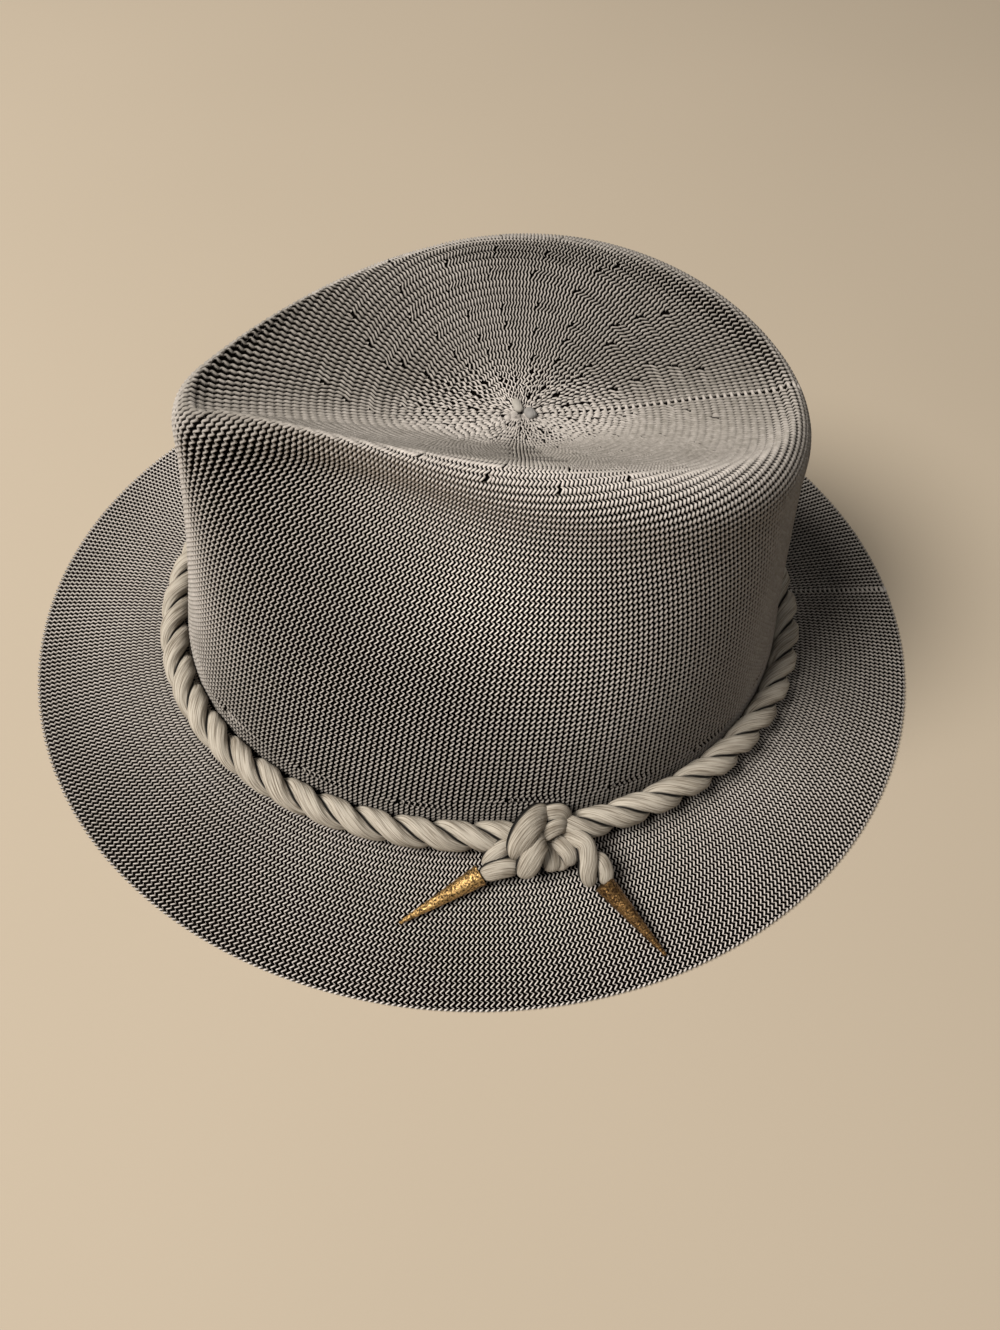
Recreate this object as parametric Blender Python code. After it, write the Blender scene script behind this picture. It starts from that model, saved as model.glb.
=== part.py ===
"""Knitted fedora with a knotted rope band, at its real size.

The front of the hat is -X, its left side with the knot is -Y, and the edge of the brim rests on Z = 0.
"""
import math

import bmesh
import bpy
from mathutils import Vector
from mathutils.bvhtree import BVHTree

MM = 0.001
GAP = 0.3 * MM  # between pieces that touch

# Knitted shell: crown and brim in one piece
WALL = 1.8 * MM
SHELL_COLUMNS = 72
EDGE_HEIGHT = 1.3 * MM  # thickness of the brim's edge, pressed a little where it rests
EDGE_ROUND = 0.03  # rows from the widest line of the edge to its upper and lower lines
REST_ROW = 0.16  # how many rows the underside is flat, from the edge inwards

# Every section of the shell is an oval in plan, in millimetres. back_up lifts the back and lowers the
# front, ends_up lifts both and lowers the sides, and taper widens the back and narrows the front.
# left_in and right_in are how far the pinch pushes each side in, and pinch_at is how many degrees round
# from the front it pushes most.
SECTION_COLUMNS = ("half_length", "half_width", "x_middle", "height", "back_up", "ends_up", "taper",
                   "left_in", "right_in", "pinch_at")
SECTIONS = (
    ("brim edge", 158.3, 139.3, 0.0, 1.3, 0.0, 0.0, 0.009, 0.0, 0.0, 62),
    ("brim middle", 132.3, 113.2, 0.0, 4.5, -0.4, -1.0, 0.009, 0.0, 0.0, 62),
    ("brim inner", 111.0, 92.0, 0.0, 7.2, 0.0, -2.6, 0.009, 0.0, 0.0, 62),
    ("crown break", 105.5, 86.5, 0.0, 9.7, 0.0, -2.6, 0.009, 0.0, 0.0, 62),
    ("wall foot", 103.5, 84.5, 0.0, 21.2, 0.0, -2.6, 0.009, 0.0, 0.0, 62),
    ("wall low", 98.0, 76.2, -0.2, 46.2, -0.6, -4.1, 0.068, 1.5, 1.5, 62),
    ("wall middle", 93.0, 66.5, -0.4, 73.0, -1.2, -5.7, 0.131, 8.0, 6.0, 62),
    ("wall high", 88.9, 56.6, -0.7, 98.9, -1.8, -7.3, 0.192, 14.0, 10.0, 60),
    ("shoulder", 86.9, 51.2, -0.8, 113.2, -2.1, -7.6, 0.227, 12.0, 8.0, 52),
    ("crest", 82.2, 43.3, -0.8, 119.0, -2.1, -7.4, 0.227, 8.5, 3.3, 40),
    ("rim inside", 75.7, 36.8, -0.8, 116.5, -2.1, -7.0, 0.227, 6.5, 0.7, 38),
    ("dish slope", 54.5, 26.3, 0.7, 110.9, -1.3, -3.8, 0.182, 4.5, 0.0, 38),
    ("dish floor", 27.3, 12.9, 2.2, 104.5, -0.4, -1.0, 0.091, 2.0, 0.0, 38),
    ("centre", 0.0, 0.0, 4.5, 102.6, 0.0, 0.0, 0.0, 0.0, 0.0, 38),
)
LAST_ROW = len(SECTIONS) - 1
# Ring rows of the mesh between one section and the next, closer where the shell bends sharply
RINGS_PER_SECTION = (2, 2, 2, 2, 2, 2, 2, 3, 3, 3, 2, 2, 1)
PINCH_SPREAD = math.radians(32)
PINCH_FADE = 15 * MM  # the dent dies out this near the middle plane

# Rope band, and the knot and tails that are part of the same rope
ROPE_RADIUS = 4.7 * MM
ROPE_ROW = 3.5  # where on the wall the rope lies
ROPE_STATIONS = 120
ROPE_SIDES = 10
STRAND_SIDES = 10
STRAND_STATIONS = 9
DOME_SHARE = 0.7  # of the radius and of the reach, at the ring halfway up a rounded end

# Loops and tails of the knot: each goes through its points (x, y, z) in millimetres
KNOT_LOOPS = (
    # name, radius at start, middle and end, points
    ("front loop", (4.0, 4.8, 4.0), ((7.0, -90.0, 21.5), (1.5, -97.3, 20.5), (-3.0, -100.6, 13.6))),
    ("second loop", (3.2, 3.9, 3.6), ((8.0, -94.0, 19.0), (4.5, -99.4, 17.0), (1.5, -102.6, 11.9))),
    ("upper loop", (3.3, 3.9, 3.0), ((6.5, -91.2, 21.6), (11.0, -91.4, 20.4), (15.2, -91.6, 16.6))),
    ("lower loop", (3.2, 3.6, 3.0), ((6.5, -96.0, 18.0), (11.0, -95.0, 17.4), (15.5, -93.5, 14.5))),
    ("under loop", (3.4, 3.8, 3.4), ((5.0, -96.0, 14.0), (8.0, -99.5, 13.4), (10.5, -102.0, 12.2))),
)
TAILS = (
    # name, points from inside the knot to the middle of the brass tip's face
    ("front tail", (4.3, 4.8, 3.6), ((2.0, -96.0, 14.6), (-6.0, -98.0, 14.3), (-13.7, -100.4, 12.0))),
    ("back tail", (4.3, 5.0, 3.6), ((7.0, -95.6, 15.0), (17.2, -98.8, 14.9), (23.3, -106.6, 11.0))),
)

# Brass tips: hammered cones that lie on the brim
TIP_BASE_RADIUS = 3.4 * MM
TIP_END_RADIUS = 1.0 * MM
TIP_LENGTH = 28.5 * MM
TIP_LIP = 0.94  # of the base radius, at the edge of its flat face
TIP_SHARES = (0, 0.04, 0.35, 0.7, 0.95, 0.985)  # of its length, where the rings lie
TIP_LAST = 0.7  # of the end radius, at the last ring
TIP_SIDES = 24
TIP_HEADING = {"front tail": math.radians(202), "back tail": math.radians(-53)}
TIP_NAME = {"front tail": "brass_tip_front", "back tail": "brass_tip_back"}

# Small knot of yarn that closes the knitting at the middle of the crown
TIE_RADII = (3.2 * MM, 3.4 * MM, 1.5 * MM)
TIE_PLACE = (5.3 * MM, 0.7 * MM)
TIE_LIFT = 0.4 * MM

GREY_KNIT = ("grey knit", (0.15, 0.13, 0.115), 0.9, 0.0)
PALE_ROPE = ("pale rope", (0.58, 0.50, 0.41), 0.8, 0.0)
OLD_BRASS = ("old brass", (0.55, 0.39, 0.18), 0.35, 1.0)


def clear_scene():
    for thing in list(bpy.data.objects):
        bpy.data.objects.remove(thing, do_unlink=True)


def material(name, colour, roughness, metallic):
    made = bpy.data.materials.get(name)
    if made is None:
        made = bpy.data.materials.new(name)
        made.use_nodes = True
        shader = made.node_tree.nodes["Principled BSDF"]
        shader.inputs["Base Color"].default_value = (*colour, 1)
        shader.inputs["Roughness"].default_value = roughness
        shader.inputs["Metallic"].default_value = metallic
    return made


def add_object(name, form, finish, smooth_angle=40):
    """A named object from a bmesh, with its faces pointing out."""
    bmesh.ops.recalc_face_normals(form, faces=form.faces)
    mesh = bpy.data.meshes.new(name)
    form.to_mesh(mesh)
    form.free()
    mesh.materials.append(material(*finish))
    mesh.shade_smooth()
    mesh.set_sharp_from_angle(angle=math.radians(smooth_angle))
    piece = bpy.data.objects.new(name, mesh)
    bpy.context.scene.collection.objects.link(piece)
    return piece


def smooth_between(before, start, end, after, share):
    """Catmull-Rom value between start and end."""
    bend = 2 * before - 5 * start + 4 * end - after
    twist = 3 * start - before - 3 * end + after
    return 0.5 * (2 * start + (end - before) * share + bend * share**2 + twist * share**3)


def along(points, place):
    """Point at a fractional place in a list of vectors, on a smooth curve carried straight past its ends."""
    first = min(int(place), len(points) - 2)
    start, end = points[first], points[first + 1]
    before = points[first - 1] if first > 0 else 2 * start - end
    after = points[first + 2] if first + 2 < len(points) else 2 * end - start
    return smooth_between(before, start, end, after, place - first)


SECTION_VALUES = tuple(Vector(row[1:]) for row in SECTIONS)


def shell_point(angle, row):
    """Outer surface of the shell. Angle 0 is the back, 90 degrees is +Y. Row 0 is the brim's edge."""
    section = dict(zip(SECTION_COLUMNS, along(SECTION_VALUES, row)))
    across, outward = math.sin(angle), math.cos(angle)
    x = section["x_middle"] + section["half_length"] * outward
    y = section["half_width"] * across * (1 + section["taper"] * outward)
    z = section["height"] + section["back_up"] * outward + section["ends_up"] * math.cos(2 * angle)
    point = Vector((x, y, z)) * MM
    pushed_in = section["left_in" if across < 0 else "right_in"] * MM
    from_front = abs(math.remainder(angle - math.pi, 2 * math.pi))
    around = (from_front - math.radians(section["pinch_at"])) / PINCH_SPREAD
    point.y -= pushed_in * math.exp(-(around**2)) * max(-1, min(1, point.y / PINCH_FADE))
    return point


def shell_normal(angle, row):
    """Direction out of the shell's outer surface."""
    step = 0.01
    row = min(row, LAST_ROW - 2 * step)
    around = shell_point(angle + step, row) - shell_point(angle - step, row)
    inward = shell_point(angle, row + step) - shell_point(angle, max(row - step, 0))
    return around.cross(inward).normalized()


def inner_point(angle, row):
    """Inner surface of the shell, flat on the ground near the brim's edge."""
    point = shell_point(angle, row) - WALL * shell_normal(angle, row)
    if row <= REST_ROW:
        point.z = 0
    point.z = max(point.z, 0)
    return point


def ring_rows():
    """Rows of the mesh's rings from the brim's edge to the last ring before the crown's middle."""
    rows = [EDGE_ROUND, REST_ROW]
    for section, count in enumerate(RINGS_PER_SECTION):
        for ring in range(count):
            row = section + ring / count
            if row > REST_ROW:
                rows.append(row)
    return rows


def bridge(form, ring, next_ring):
    """Quads between two rings of as many vertices."""
    count = len(ring)
    for i in range(count):
        j = (i + 1) % count
        form.faces.new((ring[i], ring[j], next_ring[j], next_ring[i]))


def close_end(form, ring, point):
    """Triangles from a ring to one vertex."""
    tip = form.verts.new(point)
    for i, vertex in enumerate(ring):
        form.faces.new((vertex, ring[(i + 1) % len(ring)], tip))


def shell_angles():
    return [2 * math.pi * i / SHELL_COLUMNS for i in range(SHELL_COLUMNS)]


def edge_point(angle, row):
    """Widest line of the brim's edge, halfway up it."""
    point = shell_point(angle, row)
    point.z = EDGE_HEIGHT / 2
    return point


def make_shell():
    """Crown and brim as one hollow knitted wall."""
    form = bmesh.new()
    rows = ring_rows()
    profile = [(inner_point, row) for row in reversed(rows)]
    profile += [(edge_point, 0)]
    profile += [(shell_point, row) for row in rows]
    rings = [[form.verts.new(place(angle, row)) for angle in shell_angles()] for place, row in profile]
    for ring, next_ring in zip(rings, rings[1:]):
        bridge(form, ring, next_ring)
    close_end(form, rings[0], inner_point(0, LAST_ROW))
    close_end(form, rings[-1], shell_point(0, LAST_ROW))
    return add_object("knit_shell", form, GREY_KNIT, 60)


def sweep(form, points, radii, sides, closed=False, last_heading=None):
    """A round tube through points, or a closed ring. Returns its rings of vertices."""
    rings = []
    count = len(points)
    for i, point in enumerate(points):
        before = points[i - 1] if closed or i > 0 else point
        after = points[(i + 1) % count] if closed or i < count - 1 else point
        heading = (after - before).normalized()
        if last_heading and i == count - 1:
            heading = last_heading
        side = heading.cross(Vector((0, 0, 1))).normalized()
        up = side.cross(heading)
        turns = [2 * math.pi * (j + 0.5) / sides for j in range(sides)]
        ring = [point + radii[i] * (math.cos(a) * side + math.sin(a) * up) for a in turns]
        rings.append([form.verts.new(place) for place in ring])
    for ring, next_ring in zip(rings, rings[1:]):
        bridge(form, ring, next_ring)
    if closed:
        bridge(form, rings[-1], rings[0])
    return rings


def rope_place(angle):
    """Middle of the rope band against the crown's wall."""
    return shell_point(angle, ROPE_ROW) + (ROPE_RADIUS + GAP) * shell_normal(angle, ROPE_ROW)


def make_rope_ring():
    form = bmesh.new()
    places = [rope_place(2 * math.pi * i / ROPE_STATIONS) for i in range(ROPE_STATIONS)]
    sweep(form, places, [ROPE_RADIUS] * ROPE_STATIONS, ROPE_SIDES, closed=True)
    return add_object("rope_band", form, PALE_ROPE)


def strand(name, radii_mm, points_mm, last_heading=None):
    """A short length of rope with rounded ends, or with a flat last end square to last_heading."""
    points = [Vector(point) * MM for point in points_mm]
    radii = [Vector((radius, 0)) * MM for radius in radii_mm]
    last = len(points) - 1
    places = [last * i / (STRAND_STATIONS - 1) for i in range(STRAND_STATIONS)]
    route = [along(points, place) for place in places]
    widths = [along(radii, place).x for place in places]
    form = bmesh.new()
    rings = sweep(form, route, widths, STRAND_SIDES, last_heading=last_heading)
    start_way = (route[0] - route[1]).normalized()
    close_round(form, rings[0], route[0], start_way * widths[0])
    if last_heading:
        form.faces.new(rings[-1])
    else:
        end_way = (route[-1] - route[-2]).normalized()
        close_round(form, rings[-1], route[-1], end_way * widths[-1])
    return add_object(name, form, PALE_ROPE)


def close_round(form, ring, middle, reach):
    """Domes the end of a tube."""
    smaller = [form.verts.new(middle + DOME_SHARE * (v.co - middle + reach)) for v in ring]
    bridge(form, ring, smaller)
    close_end(form, smaller, middle + reach)


def join_to(rope, part):
    """Makes part one body with the rope."""
    union = rope.modifiers.new(part.name, "BOOLEAN")
    union.operation = "UNION"
    union.object = part
    part.hide_render = True
    part.display_type = "WIRE"


def brim_below(shell_tree, place):
    """Height of the brim's upper surface under a place."""
    hit = shell_tree.ray_cast(place, Vector((0, 0, -1)))[0]
    return hit.z


def tip_heading(tail, rope_end, shell_tree):
    """Way from the end of the rope to the brass tip's point, which lies on the brim."""
    angle = TIP_HEADING[tail]
    far = rope_end + TIP_LENGTH * Vector((math.cos(angle), math.sin(angle), 0))
    far.z = brim_below(shell_tree, far) + TIP_END_RADIUS + GAP
    return (far - rope_end).normalized()


def make_tip(tail, rope_end, heading):
    """A cone with a rounded point, its flat face at the end of the rope."""
    start = rope_end + GAP * heading
    radii = [TIP_BASE_RADIUS * TIP_LIP, TIP_BASE_RADIUS]
    radii += [TIP_BASE_RADIUS + (TIP_END_RADIUS - TIP_BASE_RADIUS) * share for share in TIP_SHARES[2:-1]]
    radii.append(TIP_END_RADIUS * TIP_LAST)
    form = bmesh.new()
    places = [start + TIP_LENGTH * share * heading for share in TIP_SHARES]
    rings = sweep(form, places, radii, TIP_SIDES)
    form.faces.new(rings[0])
    close_end(form, rings[-1], start + TIP_LENGTH * heading)
    return add_object(TIP_NAME[tail], form, OLD_BRASS)


def make_tie(shell_tree):
    """The yarn knot at the crown's middle, just above the knitting."""
    form = bmesh.new()
    bmesh.ops.create_icosphere(form, subdivisions=2, radius=1)
    bmesh.ops.scale(form, vec=Vector(TIE_RADII), verts=form.verts)
    top = Vector((*TIE_PLACE, 1))
    middle = Vector((*TIE_PLACE, brim_below(shell_tree, top) + TIE_RADII[2] + TIE_LIFT))
    bmesh.ops.translate(form, vec=middle, verts=form.verts)
    return add_object("crown_tie", form, GREY_KNIT)


def build():
    clear_scene()
    shell = make_shell()
    shell_form = bmesh.new()
    shell_form.from_mesh(shell.data)
    shell_tree = BVHTree.FromBMesh(shell_form)
    rope = make_rope_ring()
    for name, radii, points in KNOT_LOOPS:
        join_to(rope, strand(name, radii, points))
    for name, radii, points in TAILS:
        rope_end = Vector(points[-1]) * MM
        heading = tip_heading(name, rope_end, shell_tree)
        join_to(rope, strand(name, radii, points, heading))
        make_tip(name, rope_end, heading)
    make_tie(shell_tree)
    shell_form.free()


build()
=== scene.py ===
"""Looks of a knitted fedora: zigzag knit over its shell, a twisted rope band with its knot, and brass tips.

The front of the hat is -X, its left side with the knot is -Y, and the edge of the brim rests on Z = 0.
"""
import math

import bpy
import numpy as np
from mathutils import Matrix, Vector
from mathutils.bvhtree import BVHTree


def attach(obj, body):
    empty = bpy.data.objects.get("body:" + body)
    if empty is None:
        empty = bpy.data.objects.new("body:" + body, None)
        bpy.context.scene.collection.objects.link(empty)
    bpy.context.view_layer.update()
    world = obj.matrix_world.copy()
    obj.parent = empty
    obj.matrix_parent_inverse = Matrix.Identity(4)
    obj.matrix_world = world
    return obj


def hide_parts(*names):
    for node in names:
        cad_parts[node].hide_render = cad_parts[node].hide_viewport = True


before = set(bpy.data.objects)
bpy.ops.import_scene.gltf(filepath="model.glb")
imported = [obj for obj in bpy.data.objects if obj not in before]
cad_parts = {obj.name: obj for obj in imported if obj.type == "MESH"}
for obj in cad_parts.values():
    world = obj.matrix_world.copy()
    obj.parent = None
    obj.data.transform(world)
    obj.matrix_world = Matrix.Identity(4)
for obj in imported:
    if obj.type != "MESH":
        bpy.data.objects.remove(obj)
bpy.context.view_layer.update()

MM = 0.001
TURN = 2 * math.pi
UP = np.array((0.0, 0.0, 1.0))
SLOPE_STEP = 0.01  # in angle and in row, to find which way the shell faces

# Camera: it looks down at the hat from its left side
LOOK_DOWN = math.radians(59.447)
LOOK_TURN = math.radians(13.419)
LOOK_ROLL = math.radians(-7.255)
LOOK_DISTANCE = 321.037 * MM
LOOK_ASIDE = Vector((7.393, -23.502, 0)) * MM
LOOK_HEIGHT = 7.2 * MM
LENS = 24.598
CLIP_START = 10 * MM

# Lights: place and the point they face in metres, width, power and colour
LIGHTS = {
    "window": ((-1.5, -0.25, 1.9), (0, 0, 0.03), 1.2, 101, (1.0, 0.97, 0.92)),
    "overhead": ((0.6, -0.3, 2.3), (0.1, 0, 0.03), 0.9, 8, (1.0, 0.97, 0.93)),
}
ROOM_COLOUR = (0.95, 0.97, 1.0, 1)
ROOM_STRENGTH = 0.04
FLOOR_REACH = 3.0

# Colours
YARN_DARK = (0.21, 0.19, 0.166, 1)
YARN_PALE = (0.7, 0.638, 0.59, 1)
GREY_END_DARK = (0.17, 0.16, 0.15, 1)
GREY_END_PALE = (0.27, 0.255, 0.24, 1)
PALE_END_DARK = (0.26, 0.24, 0.21, 1)
PALE_END_PALE = (0.38, 0.355, 0.32, 1)
# Painted shade: the yarn's flanks and the sheet behind the yarn are near black, for the shade down between
# the ribs
SHADE_BETWEEN_YARNS = (0.001, 0.0008, 0.0006, 1)
SHADE_BETWEEN_CLOSE_YARNS = (0.06, 0.053, 0.047, 1)
BACKING_SHADE_PALE = (0.004, 0.003, 0.0025, 1)
INSIDE_DARK = (0.05, 0.045, 0.04, 1)
INSIDE_PALE = (0.33, 0.30, 0.27, 1)
ROPE_DARK = (0.15, 0.121, 0.088, 1)
ROPE_PALE = (0.43, 0.383, 0.317, 1)
SHADE_BETWEEN_STRANDS = (0.004, 0.003, 0.002, 1)
BRASS_STAIN = (0.05, 0.026, 0.01, 1)
BRASS_BRIGHT = (0.62, 0.39, 0.15, 1)
# Painted shade: a darker copy of the brass for the back tip, which faces away from the light
BRASS_IN_PAINTED_SHADE = (0.3, 0.17, 0.062, 1)
FLOOR_DARK = (0.39, 0.325, 0.245, 1)
FLOOR_PALE = (0.435, 0.362, 0.276, 1)

# Knitted shell. Every section is an oval in plan, in millimetres: half length, half width, middle in X,
# height, how far the back is raised, how far both ends are raised, how much the back is widened, how far the
# pinch pushes the left and the right side in, and how many degrees from the front it pushes most.
SECTIONS = np.array((
    (158.3, 139.3, 0.0, 1.3, 0.0, 0.0, 0.009, 0.0, 0.0, 62),  # brim edge
    (132.3, 113.2, 0.0, 4.5, -0.4, -1.0, 0.009, 0.0, 0.0, 62),
    (111.0, 92.0, 0.0, 7.2, 0.0, -2.6, 0.009, 0.0, 0.0, 62),
    (105.5, 86.5, 0.0, 9.7, 0.0, -2.6, 0.009, 0.0, 0.0, 62),  # where the crown leaves the brim
    (103.5, 84.5, 0.0, 21.2, 0.0, -2.6, 0.009, 0.0, 0.0, 62),
    (98.0, 76.2, -0.2, 46.2, -0.6, -4.1, 0.068, 1.5, 1.5, 62),
    (93.0, 66.5, -0.4, 73.0, -1.2, -5.7, 0.131, 9.5, 6.0, 62),
    (88.9, 56.6, -0.7, 98.9, -1.8, -7.3, 0.192, 18.0, 10.0, 58),
    (86.9, 51.2, -0.8, 113.2, -2.1, -7.6, 0.227, 13.5, 8.0, 52),
    (82.2, 43.3, -0.8, 119.0, -2.1, -7.4, 0.227, 8.5, 3.3, 40),  # crest
    (75.7, 36.8, -0.8, 116.5, -2.1, -7.0, 0.227, 6.5, 0.7, 38),
    (54.5, 26.3, 0.7, 110.9, -1.3, -3.8, 0.182, 4.5, 0.0, 38),
    (27.3, 12.9, 2.2, 104.5, -0.4, -1.0, 0.091, 2.0, 0.0, 38),
    (0.0, 0.0, 4.5, 102.6, 0.0, 0.0, 0.0, 0.0, 0.0, 38),  # middle of the dished top
))
LAST_ROW = len(SECTIONS) - 1
CROWN_MIDDLE = 4.5 * MM
PINCH_SPREAD = math.radians(32)
PINCH_FADE = 15 * MM
# Rounded edge of the brim, from the underside up: row and height in millimetres
BRIM_EDGE = ((0.12, 0.42), (0.02, 0.42), (0.002, 0.5), (0, 0.65), (0.002, 0.9), (0.01, 1.15))

# Lookup grids of the brim and of the crown
LINES_ROUND = 1440
LINES_ALONG = 500
BRIM_END_ROW = 3.15
CROWN_START_ROW = 3.35
BRIM_ROWS = np.concatenate((np.linspace(0.03, 0.3, 6), np.linspace(0.35, BRIM_END_ROW, 90)))
CROWN_ROWS = np.linspace(CROWN_START_ROW, LAST_ROW - 0.03, 320)

# Columns of stitches. They are evenly spaced along the wall up to the even row, then fan out more and more
# evenly from the crown's middle, with a second share of the change from the fan row on.
EVEN_ROW = 5.0
FAN_ROW = 8.0
FAN_SHARES = (0.8, 0.2)
FAN_ROWS = 3
GORES = 18
BRIM_COLUMNS = 30  # per gore
CROWN_COLUMNS = 20
BRIM_STITCHES = 31
BRIM_CROWDING = 0.12
CROWN_STITCHES = 90
# Stations of a stitch: place in it, which way the yarn swings, and how full it is. A full stroke leans one
# way and a thin link leads to the next stroke.
STITCH = ((0.0, -1.0, 0.6), (0.14, -0.78, 1.1), (0.58, 0.78, 1.1), (0.74, 1.0, 0.6))
ZIGZAG_REACH = 0.55 * MM
ZIGZAG_LIMIT = 0.32  # of the space between columns
ZIGZAG_LIMIT_ENDS = 0.2  # at the front and the back
YARN_WIDTH = 0.84 * MM
YARN_WIDTH_LIMIT = 0.85  # of the space between columns
YARN_TOP = 0.15 * MM
YARN_FOOT = -0.75 * MM
YARN_END = 0.4 * MM  # from the crown's middle
LINK_DROP = 0.7 * MM  # how much lower a link of no fullness would lie
CLOSING_WAY = 0.975  # from here to the end of a column the yarn grows full
CLOSED_FULLNESS = 1.25

# Marks: rings round the crown's middle where two columns of each gore end
MARK_TOPS = (0.2, 0.35, 0.5, 0.62, 0.74, 0.9, 0.7, 0.5, 0.3)  # where in its gore each ring's mark lies
MARK_RINGS = len(MARK_TOPS)
MARK_STEP = 6.9 * MM
MARK_START = -1.5 * MM
FIRST_MARK_WAY = 10.5 * MM  # from the foot of the crown to the lowest ring
MARK_ASTRAY = 2.2 * MM
MARK_REACH = 1.7 * MM  # the neighbours close in over this distance each way
MARK_STAGGER = 0.6 * MM

# Zones of the knit. A row tells how far up a zone lies, and rows how far it takes to come in or fade out.
LEFT_SHARPNESS = 0.8  # how sharply the left side gives way to the right side
BRIM_FULLER = (0.7, 0.7)  # how much of the way to full the links are at the front and at the back
CROWN_FULLER = (0.6, 0.25)
ENDS_PAINTED_SHADE = (0.8, 1.1)  # how much painted shade darkens the yarn at the front and at the back
FOOT_ROW, FOOT_ROWS = 3.8, 1.7  # beside the rope the yarn has painted shade
FOOT_PAINTED_SHADE = 0.95
LOW_WALL_ROW, LOW_WALL_ROWS = 4.6, 1.6  # low on the wall it is a little thinner
LOW_WALL_THINNER = 0.16
HIGHLIGHT_ROW, HIGHLIGHT_ROWS = 6.3, 0.6  # a painted highlight: a paler patch on the left side
HIGHLIGHT_TURN, HIGHLIGHT_TURNS = 0.71, 0.05
HIGHLIGHT_TONE = 0.6
HIGH_FRONT_ROW, HIGH_FRONT_ROWS = 6.5, 2  # high up at the front it is as wide as inside the crest
ROLL_ROW = 8.8  # the roll at the top of the wall, fuller on the left; inside it the yarn is darker with painted shade
ROLL_FULLNESS = 0.25
ROLL_SHADE_ROWS = 0.8
RIGHT_SHADE_LOWER_ROWS = 1.2  # on the right side the painted shade starts this much lower
TOP_ROW, TOP_ROWS = 9.7, 0.6  # inside the crest the yarn is full and nearly straight
FRONT_TOP_ROWS = 1.5  # at the front that starts this much lower
TOP_PAINTED_LIGHT = 0.3  # painted light: how much paler it is there on the right side
TOP_PAINTED_SHADE = 0.25  # painted shade: how much darker it is on the left side, at the front and at the back
TOP_FULLNESS = 0.6
TOP_SWING = 0.55
TOP_WIDER = 0.35
INNER_ROW, INNER_ROWS = 11.5, 0.8  # round the crown's middle the stitches are open again and uneven
INNER_UNEVEN = 0.65
INNER_UNEVEN_FULLNESS = 0.4
INNER_TONE = 0.55

# Seam at the back: its opening, and the bars of yarn across it
SEAM_OPENING = 0.3 * MM  # the columns beside the seam stand this far away from it
SEAM_REACH = 2.5 * MM
SEAM_STEP = 2.0 * MM
SEAM_TONE = 0.15
SEAM_BAR_REACH = 0.9 * MM
SEAM_BAR_RADIUS = 0.45 * MM
SEAM_BAR_DEPTH = 0.25 * MM
SEAM_BAR_STATIONS = 5
SEAM_BAR_SIDES = 8
SEAM_OF_BRIM = (0.03, 0.95)  # where it starts and ends, as shares of a column
SEAM_OF_CROWN = (0.05, 0.96)

# Backing behind the yarn, and the inside of the hat
BACKING_COLUMNS = 180
BACKING_ROWS = np.concatenate((np.linspace(0.03, 0.4, 4), np.linspace(0.5, LAST_ROW - 0.08, 76)))
BACKING_DEPTH = 0.65 * MM
BACKING_LOWEST = 0.7 * MM
INSIDE_DEPTH = 1.8 * MM
INSIDE_LOWEST = 0.3 * MM
PURL_COLUMNS = 360
PURLS_PER_ROW = 7

# Strands. The grooves between their filaments wander, and at the back they have painted shade up to a soft
# edge.
# Squareness 2 is an oval section, and above that it fills out towards a rectangle.
GROOVE_WANDER = (0.9, 0.5)
GROOVE_WANDER_LENGTH = 5 * MM
SHADE_EDGE = 0.25
LAY_PER_METRE = 10
# Painted shade: the rope's strands are dark where they turn towards each other, the knot's strands on their
# undersides and beyond
ROPE_STRAND = {"squareness": 2.9, "grooves": 0.05, "filaments": 14, "twist": -90.0, "shade_height": -0.44}
KNOT_STRAND = {"squareness": 2.4, "grooves": 0.06, "filaments": 20, "twist": 60.0, "shade_height": 0.3}
YARN_STRAND = {"grooves": 0.12, "filaments": 14, "twist": 200.0}

# Rope band
ROPE_ROW = 3.5
ROPE_OFFSET = 5.0 * MM
ROPE_STATIONS = 720
ROPE_SIDES = 48
LAY = 25.5 * MM
STRAND_OFFSET = 2.35 * MM
STRAND_WIDE = 3.0 * MM
STRAND_THICK = 2.45 * MM
KNOT_ANGLE = math.radians(-87)
KNOT_REACH = 0.02  # in angle, from the knot's middle to the ends of the band

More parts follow.
